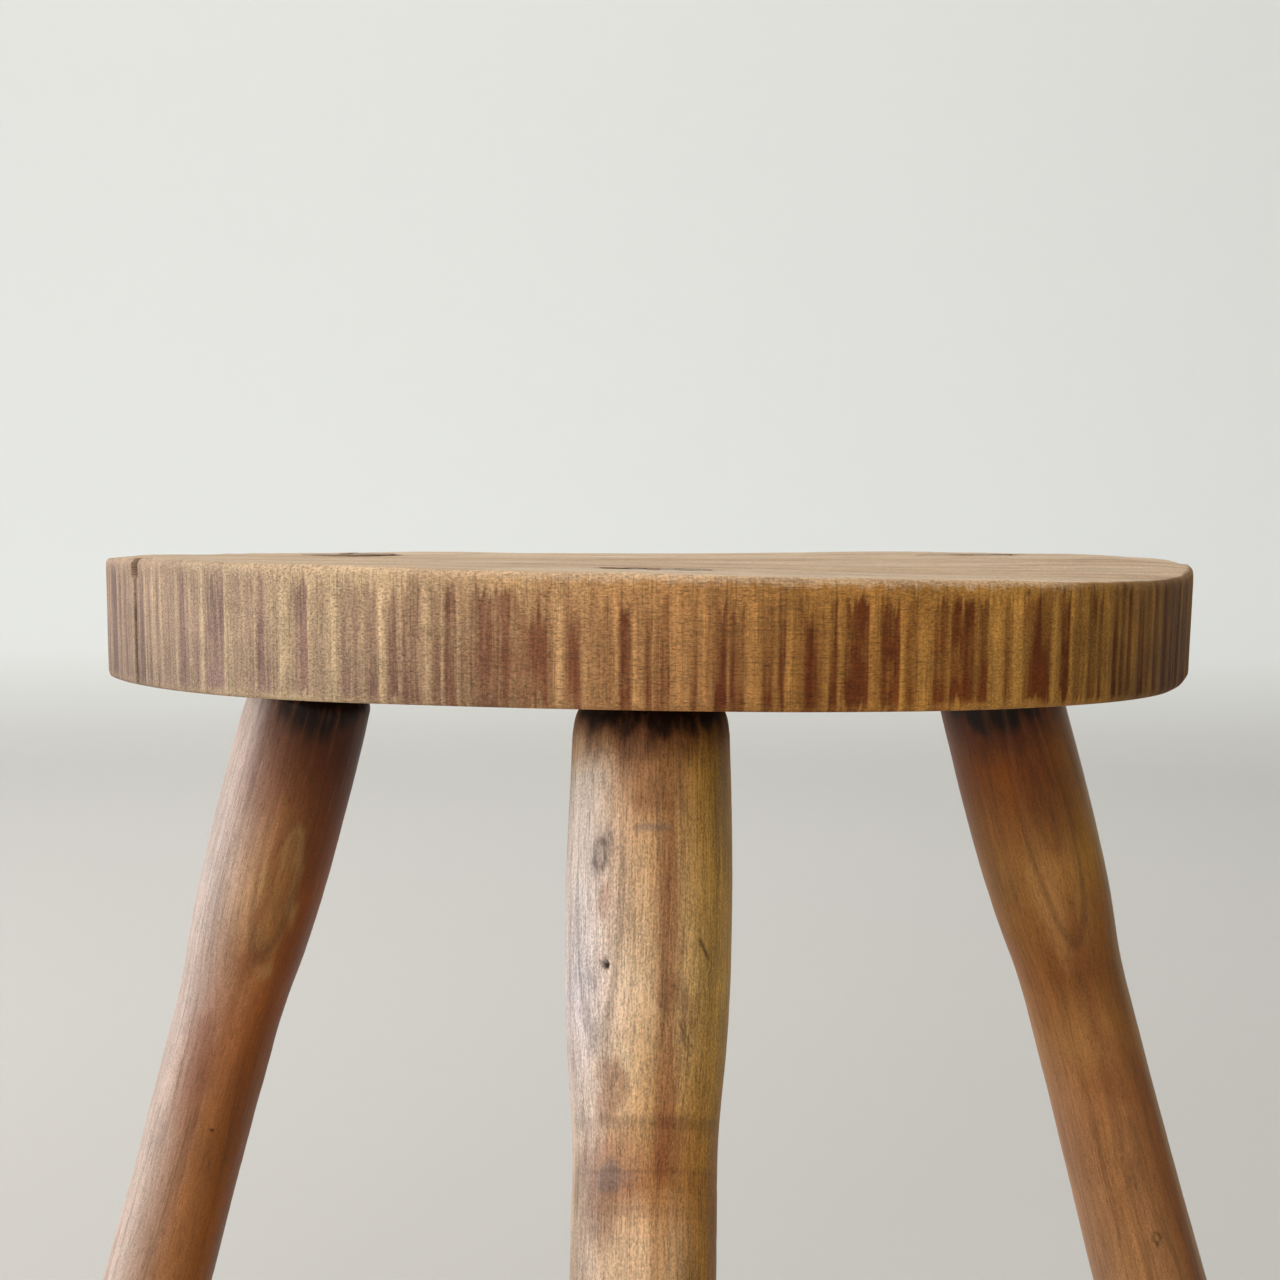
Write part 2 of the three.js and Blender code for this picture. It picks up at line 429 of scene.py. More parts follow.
def top_relief(points):
    """Hollows and grain lines of the worn top, in metres."""
    xy = points[:, :2]
    worn = 0.35 * noise(xy, (70 * MM, 30 * MM), 3, 2)
    grain = 0.10 * noise(xy, (60 * MM, 3.2 * MM), 4, 2)
    return (worn + grain) * MM


def split_line(x):
    """The y of the end check's split at x, from the seat's middle."""
    mouth = math.radians(CHECK_AT)
    start = rim_radius(np.array(mouth)) * math.sin(mouth)
    return start + 0.5 * MM * noise(np.atleast_1d(x)[:, None], 9 * MM, 31, 2)


def split_mouth():
    mouth = math.radians(CHECK_AT)
    return float(rim_radius(np.array(mouth)) * math.cos(mouth))


def split_depth(xy):
    """How deep the end check's split is at points of the top."""
    along = (xy[:, 0] - split_mouth()) / CHECK_LENGTH
    width = 0.55 * MM * (1 - 0.7 * np.clip(along, 0, 1))
    inside = step(1.0, 0.75, along) * step(-0.2, 0.0, along)
    deepest = 2.2 * MM * inside * (1 - 0.8 * np.clip(along, 0, 1))
    return deepest * bell(xy[:, 1] - split_line(xy[:, 0]), width)


def mortise_ring(side, radius, height):
    """Points where a cylinder round the leg's axis meets a level plane, from the seat's middle."""
    origin, down = leg_axis(side)
    origin = origin - SEAT
    first = np.cross(down, (1, 0, 0))
    first /= np.linalg.norm(first)
    second = np.cross(down, first)
    turn = np.linspace(0, 2 * math.pi, MORTISE_POINTS, endpoint=False)[:, None]
    ring = origin + radius * (np.cos(turn) * first + np.sin(turn) * second)
    if callable(height):
        for _ in range(3):
            ring = ring - down * ((ring[:, 2] - height(ring[:, 0], ring[:, 1])) / down[2])[:, None]
        return ring
    return ring - down * ((ring[:, 2] - height) / down[2])[:, None]


def under_height(x, y):
    return UNDER_MIDDLE + UNDER_RISE * x


def rim_grid():
    """(points, angle, height share) of the rim's strip, from the underside's edge to the top's."""
    fine = np.linspace(FINE_FROM, FINE_TO, FINE_COLUMNS, endpoint=False)
    rest = np.linspace(FINE_TO, FINE_FROM + 360, COLUMNS - FINE_COLUMNS, endpoint=False)
    degrees = np.concatenate([fine, rest])
    turn = np.radians(degrees)
    loop = stack(np.cos(turn), np.sin(turn))
    right = bell(turned_by(degrees, -5), 38)
    top_arris = (1.5 + 0.35 * noise(loop, 0.25, 21, 2) + 0.3 * right) * MM
    bottom_arris = (1.3 + 0.4 * noise(loop, 0.2, 22, 2) + 2.0 * right) * MM
    sections = []
    for share in np.linspace(0, 1, BOTTOM_ARRIS_ROWS, endpoint=False):
        arc = (share - 1) * math.pi / 2
        sections.append((bottom_arris * (1 - math.cos(arc)), bottom_arris * (1 + math.sin(arc)), 0.0))
    for share in np.linspace(0, 1, WALL_ROWS, endpoint=False):
        sections.append((0 * turn, bottom_arris, share))
    for share in np.linspace(0, 1, TOP_ARRIS_ROWS):
        arc = share * math.pi / 2
        sections.append((top_arris * (1 - math.cos(arc)), -top_arris * (1 - math.sin(arc)), 1.0))
    inset = np.array([row[0] for row in sections])
    offset = np.array([row[1] for row in sections])
    share = np.array([row[2] for row in sections])[:, None] + 0 * inset
    wall = rim_radius(turn)[None, :] - RIM_DRAFT * (1 - share)
    radius = wall - inset
    x, y = radius * np.cos(turn), radius * np.sin(turn)
    low = under_height(x, y)
    high = top_warp(x, y)
    in_wall = (share > 0) & (share < 1) | (offset > 0) & (inset == 0)
    z = np.where(share == 0, low + offset, high + offset)
    wall_low, wall_high = low + bottom_arris, high - top_arris
    z = np.where(in_wall, wall_low + (wall_high - wall_low) * share, z)
    return np.stack([x, y, z], axis=-1), np.broadcast_to(degrees, x.shape), share, inset


def jittered_disc(spacing, seed, holes, edge):
    """Points over the seat, clear of its edge and of the mortises."""
    chance = np.random.default_rng(seed)
    span = np.arange(-165 * MM, 165 * MM, spacing)
    x, y = np.meshgrid(span, span * math.sqrt(0.75))
    x = x + spacing / 2 * (np.arange(len(span)) % 2)[:, None]
    xy = stack(x, y) + chance.uniform(-0.18, 0.18, (x.size, 2)) * spacing
    angle = np.arctan2(xy[:, 1], xy[:, 0])
    keep = np.hypot(xy[:, 0], xy[:, 1]) < rim_radius(angle) - edge
    for hole in holes:
        keep &= outside_ring(xy, hole, spacing * 0.6)
    return xy[keep]


def outside_ring(xy, ring, margin):
    """True for points more than margin outside a nearly round ring."""
    centre = ring[:, :2].mean(axis=0)
    away = xy - centre
    at = np.arctan2(away[:, 1], away[:, 0])
    ring_away = ring[:, :2] - centre
    ring_at = np.arctan2(ring_away[:, 1], ring_away[:, 0])
    order = np.argsort(ring_at)
    reach = np.interp(at, ring_at[order], np.hypot(*ring_away[order].T), period=2 * math.pi)
    return np.hypot(away[:, 0], away[:, 1]) > reach + margin


def fill_faces(outer, holes, inner):
    """Triangles over the area inside the outer ring and outside the holes, through inner points.
    Indices run over outer, then each hole, then inner."""
    rings = [outer, *holes]
    flat = np.vstack([ring[:, :2] for ring in rings] + [inner])
    edges, first = [], 0
    for ring in rings:
        index = np.arange(len(ring)) + first
        edges += np.stack([index, np.roll(index, -1)], axis=-1).tolist()
        first += len(ring)
    points = [Vector(p) for p in flat]
    made = delaunay_2d_cdt(points, edges, [], 1, 1e-9)
    places, faces, sources = made[0], made[2], made[3]
    index = np.array([source[0] for source in sources])
    triangles = index[np.array([face for face in faces if len(face) == 3])]
    middle = flat[triangles].mean(axis=1)
    keep = np.ones(len(triangles), bool)
    for hole in holes:
        keep &= outside_ring(middle, hole, -1e-6)
    return triangles[keep]


def seat_paint(points, angle, share, inset, kind):
    """(colour, gloss) of the seat's points. kind is 0 on the rim, 1 on top, 2 underneath and 3 in
    the mortises."""
    chance = np.random.default_rng(5)
    rim = kind == 0
    warped = angle + 0.06 * noise(stack(angle, points[:, 2] / MM), (1.6, 12.0), 41, 2)
    high = top_warp(points[:, 0], points[:, 1])
    down = high - points[:, 2]
    tall = high - under_height(points[:, 0], points[:, 1])
    dark_marks, pale_marks = cuts_and_ridges()
    dark = stripes(warped, dark_marks, 0.35, chance, down, tall)
    pale = stripes(warped, pale_marks, 0.12, chance, down, tall)
    arc = rim_arc(angle)
    mottle = noise(stack(arc, points[:, 2] / MM), (6, 7), 42, 3)
    fine = noise(stack(arc, points[:, 2] / MM), (1.1, 22), 43, 3)
    deeper = 0.74 + 0.42 * down / tall
    fibre = noise(stack(arc, points[:, 2] / MM), (0.7, 16), 47, 2)
    dark = dark * (1.0 + 0.30 * mottle + 0.32 * fibre) * deeper
    dark = np.clip(dark + 0.22 * fine * step(0.5 * MM, 4 * MM, down) + 0.06, 0, 1)

    # Colours round the rim, from greyer and paler on the left, partly a painted sheen, to warmer in front
    # and browner and darker on the right, partly painted shade
    spin = turned_by(angle, 0)
    places = [row[0] for row in RIM_TONES]

    def round_rim(column):
        tones = np.array([linear(*row[column]) for row in RIM_TONES])
        return np.stack([np.interp(spin, places, tones[:, k]) for k in range(3)], axis=-1)

    deep = step(0.15, 1.0, down / tall)
    wood = round_rim(1) * (1.04 - 0.22 * deep + 0.10 * mottle)[:, None]
    colour = blend(wood, round_rim(2), dark)
    # The pale ridges between the cuts are partly worn wood and partly a painted highlight along them.
    colour = colour * (1 + (0.22 + 0.16 * step(-135, -112, spin)) * pale * (1 - 0.6 * dark))[:, None]
    # Worn arrises: a broad pale one above and a thin one below
    edge = noise(stack(arc), 9, 44, 3)
    upper = step(1.0, 0.25, down / (0.9 * reach_up(spin)) + 0.4 * edge)
    lower = step(2.2 * MM, 0.7 * MM, (tall - down) + 0.6 * MM * edge)
    lower *= 0.15 + 0.85 * step(-112, -122, spin) + 0.85 * bell(spin + 48, 22)
    worn = round_rim(1) * (1.12 - 0.20 * step(-108, -130, spin))[:, None]
    right_end = step(-57, -51, spin) * step(20, -10, spin)
    upper_worn = 0.70 * upper * (0.35 + 0.65 * step(-125, -100, spin)) * (1 - 0.9 * right_end)
    colour = blend(colour, worn, upper_worn)
    colour = blend(colour, worn, 0.70 * lower)
    crest = step(2.1 * MM, 0.7 * MM, down + 0.5 * MM * noise(stack(arc), 1.2, 46, 2))
    crest *= (0.25 + 0.75 * step(-140, -104, spin)) * (1 - 0.9 * right_end)
    colour = blend(colour, linear(218, 184, 148), 0.70 * crest)
    for towards, below_top, across in DARK_SPOTS:
        away = np.hypot(rim_arc(turned_by(angle, towards)), down / MM - below_top)
        colour = blend(colour, linear(58, 34, 14), 0.8 * bell(away, across / 2))

    # The top: pale and worn, with faint streaks along the grain and dark round the tenons
    xy = points[:, :2]
    streak = noise(xy, (120 * MM, 4 * MM), 51, 3)
    patch = noise(xy, (60 * MM, 34 * MM), 52, 3)
    top = blend(linear(212, 184, 150), linear(174, 138, 102), 0.30 + 0.35 * streak + 0.30 * patch)
    for side in SIDES:
        centre = mortise_ring(side, MORTISE_RADIUS, 0.0).mean(axis=0)[:2]
        away = np.hypot(*(xy - centre).T) + 2.0 * MM * noise(xy, 8 * MM, 53, 2)
        stain = 0.30 * step(19 * MM, 14 * MM, away)
        top = blend(top, linear(96, 68, 48), stain)
    under = blend(linear(128, 96, 68), linear(86, 60, 42), 0.45 + 0.4 * streak + 0.35 * patch)
    inner = linear(60, 38, 24)
    # Where the arris turns over, the rim's colours pass into the top's
    colour = blend(colour, top, np.where(rim, step(0.5, 1.0, inset / (1.5 * MM)) * (share == 1), 0))
    for number, area in ((1, top), (2, under), (3, inner)):
        colour = np.where((kind == number)[:, None], area, colour)

    # The end check and the chip at its mouth
    off = rim_arc(turned_by(angle, CHECK_AT)) * MM
    line = rim * bell(off + 0.4 * MM * noise(stack(points[:, 2]), 6 * MM, 61), 0.7 * MM)
    line = np.maximum(line, (kind == 1) * np.clip(split_depth(xy) / (0.9 * MM), 0, 1))
    colour = blend(colour, linear(48, 28, 20), 0.85 * line)
    chip = rim * chip_depth(off, down) / (4.0 * MM)
    colour = blend(colour, linear(70, 30, 14), 0.95 * chip)
    gloss = np.where(rim, 0.52 + 0.10 * dark - 0.08 * upper, 0.40 + 0.06 * patch)
    gloss = np.where(kind >= 2, 0.72, gloss)
    return colour, gloss, dark, pale


def chip_depth(off, down):
    """The chip at the mouth of the end check, by the way round from it and the way down."""
    wide = step(2.6 * MM, 2.0 * MM, np.abs(off - 0.5 * MM))
    return 4.0 * MM * wide * step(4.4 * MM, 3.4 * MM, down)


def seat_piece():
    grid, angle, share, inset = rim_grid()
    rows = len(grid)
    top_mouths = [mortise_ring(side, MORTISE_RADIUS + MOUTH_CHAMFER, top_warp) for side in SIDES]
    low_mouths = [mortise_ring(side, MORTISE_RADIUS + MOUTH_CHAMFER, under_height) for side in SIDES]
    rim = grid.reshape(-1, 3)
    split_x = split_mouth() + np.arange(0.004, 1, 0.022) * CHECK_LENGTH
    split_rows = [stack(split_x, split_line(split_x) + k * 0.4 * MM) for k in (-2, -1, 0, 1, 2)]
    split_xy = np.vstack(split_rows)
    reach = rim_radius(np.arctan2(split_xy[:, 1], split_xy[:, 0])) - 4.4 * MM
    split_xy = split_xy[np.hypot(*split_xy.T) < reach]
    top_xy = jittered_disc(TOP_SPACING, 1, top_mouths, 4.6 * MM)
    beside = np.abs(top_xy[:, 1] - split_line(top_xy[:, 0])) > 1.9 * MM
    top_xy = np.vstack([top_xy[beside | (top_xy[:, 0] > split_x[-1])], split_xy])
    low_xy = jittered_disc(UNDER_SPACING, 2, low_mouths, 6.0 * MM)
    top_inner = np.column_stack([top_xy, top_warp(*top_xy.T)])
    low_inner = np.column_stack([low_xy, under_height(*low_xy.T)])

    # The mortises' walls, from the mouth in the top down to the mouth underneath
    depth = -UNDER_MIDDLE
    walls = []
    for side in SIDES:
        rings = [mortise_ring(side, MORTISE_RADIUS, -MOUTH_CHAMFER)]
        for share_down in (0.25, 0.5, 0.75):
            rings.append(mortise_ring(side, MORTISE_RADIUS, -share_down * depth))
        rings.append(mortise_ring(side, MORTISE_RADIUS, lambda x, y: under_height(x, y) + MOUTH_CHAMFER))
        walls.append(np.vstack(rings))

    parts = [rim, *top_mouths, top_inner, *low_mouths, low_inner, *walls]
    starts = np.cumsum([0] + [len(part) for part in parts])
    points = np.vstack(parts)
    top_edge = np.arange(COLUMNS) + (rows - 1) * COLUMNS
    low_edge = np.arange(COLUMNS)

    faces = grid_faces(rows, COLUMNS)
    top_index = np.concatenate([top_edge, np.arange(starts[1], starts[5])])
    top_fill = fill_faces(grid[-1], top_mouths, top_xy)
    faces += top_index[top_fill].tolist()
    low_index = np.concatenate([low_edge, np.arange(starts[5], starts[9])])
    low_fill = fill_faces(grid[0], low_mouths, low_xy)
    faces += low_index[low_fill][:, ::-1].tolist()
    for number in range(3):
        order = [np.arange(MORTISE_POINTS) + starts[1 + number]]
        order += [np.arange(MORTISE_POINTS) + starts[9 + number] + k * MORTISE_POINTS for k in range(5)]
        order.append(np.arange(MORTISE_POINTS) + starts[5 + number])
        strip = grid_faces(len(order), MORTISE_POINTS)
        faces += np.concatenate(order)[np.array(strip)].tolist()

    count = len(points)
    kind = np.full(count, 1)
    kind[:starts[1]] = 0
    kind[starts[5]:starts[9]] = 2
    kind[starts[9]:] = 3
    full_angle = np.degrees(np.arctan2(points[:, 1], points[:, 0]))
    full_angle[:starts[1]] = angle.ravel()
    full_share = np.ones(count)
    full_share[:starts[1]] = share.ravel()
    full_inset = np.zeros(count)
    full_inset[:starts[1]] = inset.ravel()
    colour, gloss, dark, pale = seat_paint(points, full_angle, full_share, full_inset, kind)

    # Relief: the flats are hollow and the ridges proud, the wall wanders, the top is worn
    outward = stack(np.cos(np.radians(full_angle)), np.sin(np.radians(full_angle)), 0.0)
    is_rim = kind == 0
    level = step(1.4 * MM, 0.3 * MM, full_inset)
    arc = rim_arc(full_angle)
    wander = 0.22 * noise(stack(arc, points[:, 2] / MM), (18, 60), 71, 2)
    push = (0.13 * pale - 0.16 * dark + wander) * MM * level
    down = top_warp(points[:, 0], points[:, 1]) - points[:, 2]
    off = rim_arc(turned_by(full_angle, CHECK_AT)) * MM
    groove = 1.0 * MM * bell(off, 0.6 * MM) * level
    push = push - groove - chip_depth(off, down)
    relief = top_relief(points) - split_depth(points[:, :2])
    relief *= np.where(kind == 1, 1, step(0.3 * MM, 1.4 * MM, full_inset) * (full_share == 1))
    relief *= kind <= 1
    moved = points + outward * (push * is_rim)[:, None]
    moved[:, 2] += relief
    grain = stack(points[:, 1], points[:, 2], points[:, 0])
    wobble = 1.5 * MM * noise(points[:, :2], (50 * MM, 20 * MM), 81, 2)
    edge = rim_radius(np.arctan2(points[:, 1], points[:, 0])) - np.hypot(points[:, 0], points[:, 1])
    strength = np.where(is_rim, level, step(4 * MM, 9 * MM, edge))
    along = np.where(is_rim, points[:, 2], points[:, 0] * 0.2)
    tool = stack(np.where(is_rim, arc * MM, points[:, 1] + wobble), along, strength)
    return make_object("seat_plank", moved + SEAT, faces, colour, gloss, grain, tool)


seat = seat_piece()
seat_wood = old_wood("seat_wood", 0.10, 0.40, 1.0, 0.6, 0.45, contrast=0.34, shine=0.13, tooled=0.36)
seat.data.materials.append(seat_wood)
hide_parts("seat")
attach(seat, "root")


# ---------------------------------------------------------------- legs

AROUND = 216
TENON_ROWS = 12
BODY_ROWS = 340
FOOT_ROWS = 34
SHOULDER_ROUNDING = 3.5 * MM
SHOULDER_FALL = {"front": 8 * MM, "left": 4 * MM, "right": 4 * MM}
SHOULDER_GAP = 0.1 * MM
END_ROUNDING = 0.5 * MM
SOLE_ROUNDING = 1.6 * MM
FOOT_LENGTH = 26 * MM
KERF_SLACK = 0.12 * MM

# How far each tenon's end stands proud of the seat's top, towards -X and towards +X
PROUD = {"front": (0.1 * MM, 0.3 * MM), "left": (0.1 * MM, 0.5 * MM), "right": (0.1 * MM, 0.1 * MM)}
# How far down the axis the dirt and painted shade under the seat reach, in mm
SOOT_AND_SHADE_LENGTH = {"front": 8, "left": 15, "right": 11.5}
# How much shorter that dirt and painted shade are on the leg's -X side, in mm
SOOT_AND_SHADE_LEAN = {"front": 0, "left": 16, "right": 0}
# How much each leg is slimmer than its turning, towards the foot
SLIMMER = {"front": 0.0, "left": 0.035, "right": 0.0}
# The side of each leg, in degrees from the front towards +X, that faces away from the tree's heart
BARK_SIDE = {"front": -38, "left": 18, "right": 8}

# Colours of each leg at three sides (left, front and right), by the distance down from the seat
# The dark rows at the top are partly dirt and partly painted shade under the seat.
# The pale, greyish left column is a painted reflection of the window light, and the darker right column is
# partly painted shade.
LEG_TONES = {
    "front": {
        0: [(126, 86, 50), (133, 82, 46), (124, 78, 28)],
        14: [(162, 128, 92), (170, 120, 70), (158, 112, 42)],
        22: [(192, 174, 158), (192, 142, 93), (176, 128, 46)],
        70: [(194, 181, 180), (224, 187, 146), (194, 148, 66)],
        100: [(188, 166, 148), (212, 163, 108), (174, 122, 44)],
        111: [(160, 134, 112), (186, 133, 84), (152, 100, 32)],
        124: [(180, 154, 132), (217, 177, 137), (152, 103, 32)],
        330: [(184, 162, 144), (212, 173, 129), (148, 102, 34)],
    },
    "left": {
        0: [(160, 134, 120), (99, 53, 22), (60, 26, 6)],
        28: [(186, 162, 150), (160, 98, 56), (96, 42, 4)],
        70: [(192, 174, 166), (198, 146, 94), (150, 76, 6)],
        110: [(192, 170, 160), (176, 116, 76), (138, 70, 6)],
        150: [(190, 168, 156), (176, 116, 70), (138, 74, 12)],
        330: [(200, 180, 168), (184, 132, 88), (142, 84, 20)],
    },
    "right": {
        0: [(87, 45, 19), (113, 56, 19), (84, 42, 11)],
        30: [(120, 66, 20), (164, 91, 27), (146, 92, 18)],
        62: [(152, 104, 52), (188, 130, 66), (166, 112, 26)],
        80: [(150, 98, 42), (166, 108, 54), (140, 84, 14)],
        97: [(152, 98, 50), (142, 86, 38), (128, 76, 12)],
        112: [(160, 108, 60), (176, 120, 66), (138, 80, 12)],
        124: [(166, 118, 74), (198, 140, 80), (146, 88, 14)],
        140: [(160, 113, 76), (192, 130, 78), (126, 68, 6)],
        330: [(182, 142, 108), (212, 161, 108), (126, 70, 8)],
    },
}


def leg_frame(side):
    """(origin, down, front, right): the axis, and the directions round it that face -Y and +X."""
    origin, down = leg_axis(side)
    front = np.array([0.0, -1.0, 0.0])
    front -= down * (front @ down)
    front /= np.linalg.norm(front)
    return origin, down, front, np.cross(down, front) * -1


def from_axis(side, points):
    """(axial, reach): how far down the leg's axis points are, and how far out from it."""
    origin, down = leg_axis(side)
    away = points - origin
    axial = away @ down
    return axial, np.linalg.norm(away - np.outer(axial, down), axis=1)


def leg_profile(side):
    """(shoulder, radius): how far down the axis the body begins, and a function that gives the
    turned body's radius further down, both from the rings of the CAD leg."""
    axial, reach = from_axis(side, cad_points(f"leg_{side}"))
    level, ring, count = np.unique(np.round(axial / (0.1 * MM)), return_inverse=True, return_counts=True)
    level = level * 0.1 * MM
    biggest = np.array([reach[ring == index].max() for index in range(len(level))])
    body = level > 1 * MM
    shoulder = level[body & (biggest > 17.9 * MM)][0] - SHOULDER_ROUNDING
    full = (count > 14) & body
    last = shoulder + 280 * MM
    chosen = full & (level > shoulder + SHOULDER_ROUNDING - 0.2 * MM) & (level < last)
    rings, places = biggest[chosen], level[chosen]
    slope = (rings[-1] - rings[-3]) / (places[-1] - places[-3])
    fine = np.arange(-20, 370) * MM
    plain = np.interp(fine, places, rings) + slope * np.maximum(fine - places[-1], 0)
    kernel = bell(np.arange(-12, 13), 6.0)
    smooth = np.convolve(np.pad(plain, 12, mode="edge"), kernel / kernel.sum(), mode="valid")

    def radius(down_axis):
        slim = 1 - SLIMMER[side] * step(90 * MM, 190 * MM, down_axis)
        return np.interp(down_axis, fine, smooth) * slim

    return shoulder, radius


def body_reach(side, radius, turn, axial):
    """The body's radius all round at a distance down the axis: nearly round, with worn hollows and
    the faint rings of the turning."""
    axial = np.broadcast_to(axial, turn.shape)
    round_it = stack(np.cos(turn) * 17, np.sin(turn) * 17, axial / MM)
    seed = 200 + 10 * SIDES.index(side)
    worn = 0.20 * noise(round_it, (14, 14, 45), seed, 2) + 0.05 * noise(round_it, (4, 4, 9), seed + 1, 2)
    rings = 0.022 * noise(stack(axial / MM), 2.4, seed + 2, 2)
    oval = 0.14 * np.cos(2 * turn + seed)
    return radius(axial) + (worn + rings + oval) * MM * step(9 * MM, 26 * MM, axial)


def tenon_radius(side):
    axial, reach = from_axis(side, cad_points(f"leg_{side}"))
    return reach[axial < 0].max()


def to_height(place, down, height):
    """Slide points along the axis until they are at the height that the function gives there."""
    for _ in range(4):
        gap = place[..., 2] - height(place[..., 0], place[..., 1])
        place = place - down * (gap / down[2])[..., None]
    return place


def tenon_top(side, slack=0.0):
    """The height of a tenon's end, as a function of x and y in the frame."""
    centre = leg_axis(side)[0][0]
    low, high = PROUD[side]

    def height(x, y):
        share = step(centre - 12 * MM, centre + 12 * MM, x)
        worn = 0.12 * MM * noise(stack(x, y), 5 * MM, 91, 2).reshape(np.shape(x))
        return SEAT[2] + top_warp(x - SEAT[0], y - SEAT[1]) + low + (high - low) * share + worn + slack

    return height


def leg_points(side):
    """(points, centres): the rows of points round a leg from its tenon's end to its sole, and the
    middles of those two ends."""
    origin, down, front, right = leg_frame(side)
    shoulder, radius = leg_profile(side)
    tenon = tenon_radius(side)
    turn = np.linspace(0, 2 * math.pi, AROUND, endpoint=False)
    outward = np.cos(turn)[:, None] * front + np.sin(turn)[:, None] * right

    def at(reach, axial):
        reach = np.broadcast_to(reach, turn.shape)[:, None]
        return origin + np.multiply.outer(np.broadcast_to(axial, turn.shape), down) + reach * outward

    # Where the shoulder would run into the seat's underside, it is trimmed to it
    slope = np.array([-UNDER_RISE, 0, 1])
    rise = -(outward @ slope) / (down @ slope)

    rows = []
    top = tenon_top(side)
    for share in (0.25, 0.5, 0.75, 0.92):
        rows.append(to_height(at(share * (tenon - END_ROUNDING), 0.0), down, top))
    for arc in np.linspace(0, math.pi / 2, 4):
        ring = to_height(at(tenon - END_ROUNDING * (1 - math.sin(arc)), 0.0), down, top)
        rows.append(ring + down * END_ROUNDING * (1 - math.cos(arc)))
    edge = (rows[-1] - origin) @ down
    full = float(radius(shoulder + SHOULDER_ROUNDING))
    flat = full - SHOULDER_ROUNDING
    seam = np.maximum(shoulder, tenon * rise + SHOULDER_GAP)
    for share in np.linspace(0, 1, TENON_ROWS)[1:]:
        rows.append(at(tenon, edge + (seam - edge) * share))
    start = np.maximum(shoulder, flat * rise + SHOULDER_GAP)
    rows.append(at((tenon + flat) / 2, np.maximum(shoulder, (tenon + flat) / 2 * rise + SHOULDER_GAP)))
    for arc in np.linspace(0, math.pi / 2, 12)[:-1]:
        reach = full - SHOULDER_ROUNDING * (1 - math.sin(arc))
        fallen = start + SHOULDER_FALL[side] * (1 - math.cos(arc))
        rows.append(at(reach, np.maximum(fallen, reach * rise + SHOULDER_GAP)))

    sole_middle = to_height(origin, down, lambda x, y: 0.0)
    length = (sole_middle - origin) @ down
    foot = length - FOOT_LENGTH
    first = start + SHOULDER_FALL[side]
    for share in np.linspace(0, 1, BODY_ROWS):
        axial = first + (foot - first) * share
        rows.append(at(body_reach(side, radius, turn, axial), axial))
    end = float(radius(length))
    rim = to_height(at(end, length), down, lambda x, y: 0.0 * x)
    rim = (rim - origin) @ down - SOLE_ROUNDING
    for share in np.linspace(0, 1, FOOT_ROWS)[1:]:
        axial = foot + (rim - foot) * share
        rows.append(at(body_reach(side, radius, turn, axial), axial))
    last = body_reach(side, radius, turn, rim)
    for arc in np.linspace(0, math.pi / 2, 6)[1:]:
        ring = at(last - SOLE_ROUNDING * (1 - math.cos(arc)), length)
        ring = to_height(ring, down, lambda x, y: 0.0 * x)
        rows.append(ring - down * SOLE_ROUNDING * (1 - math.sin(arc)))
    for share in (0.85, 0.6, 0.3):
        ring = at((last - SOLE_ROUNDING) * share, length)
        rows.append(to_height(ring, down, lambda x, y: 0.0 * x))
    ends = [to_height(origin[None], down, top), sole_middle[None]]
    return np.array(rows), ends


def leg_places(side, points):
    """(turn, axial, reach): degrees round the leg from the front towards +X, mm down the axis from
    the seat's underside, and mm out from the axis."""
    origin, down, front, right = leg_frame(side)
    axial, reach = from_axis(side, points)
    flat = points - origin - np.outer(axial, down)
    turn = np.degrees(np.arctan2(flat @ right, flat @ front))
    return turn, axial / MM, reach / MM


def smudge(turn, axial, at_turn, at_axial, across, along, seed, soft=0.5):
    """A ragged oval mark on a leg, of mm across and along: 1 in its middle and 0 outside."""
    arc = leg_arc(turned_by(turn, at_turn))
    ragged = noise(stack(arc, axial), (across * 0.3 + 0.5, along * 0.3 + 0.5), seed, 2)
    far = np.hypot(arc / across * 2, (axial - at_axial) / along * 2) + 0.28 * ragged
    return step(1 + soft / 2, 1 - soft / 2, far)


def scratch(turn, axial, start, end, width):
    """A short line on a leg from one (turn, axial) place to another."""
    arc = leg_arc(turn)
    first = np.array([leg_arc(start[0]), start[1]])
    along = np.array([leg_arc(end[0]), end[1]]) - first
    share = np.clip(((arc - first[0]) * along[0] + (axial - first[1]) * along[1]) / (along @ along), 0, 1)
    far = np.hypot(arc - first[0] - share * along[0], axial - first[1] - share * along[1])
    return bell(far, width)


def turning_lines(axial):
    """Fine dark lines round a leg, left by the turning."""
    return step(0.25, 0.75, noise(stack(axial), 1.6, 95, 1))


def leg_tone(side, turn, axial):
    """The leg's colour, blended between the three sides and down the leg, with a painted reflection of the
    window in the left side and partly painted shade in the right side; at the back it passes to a slightly
    darker copy of the front side's colour.
    """
    table = LEG_TONES[side]
    places = list(table)
    across = np.sin(np.radians(turn))
    shades = []
    for column in range(3):
        lights = np.array([linear(*table[place][column]) for place in places])
        shades.append(np.stack([np.interp(axial, places, lights[:, k]) for k in range(3)], axis=-1))
    left, middle, right = shades
    edge = {"front": -0.02, "left": 0.28, "right": -0.15}[side]
    # The left side's pale colour is a painted reflection of the window light.
    colour = blend(middle, left, step(edge, -0.85, across))
    colour = blend(colour, right, step(0.02, 0.86, across))
    return blend(colour, 0.9 * middle, step(92, 135, np.abs(turn)))


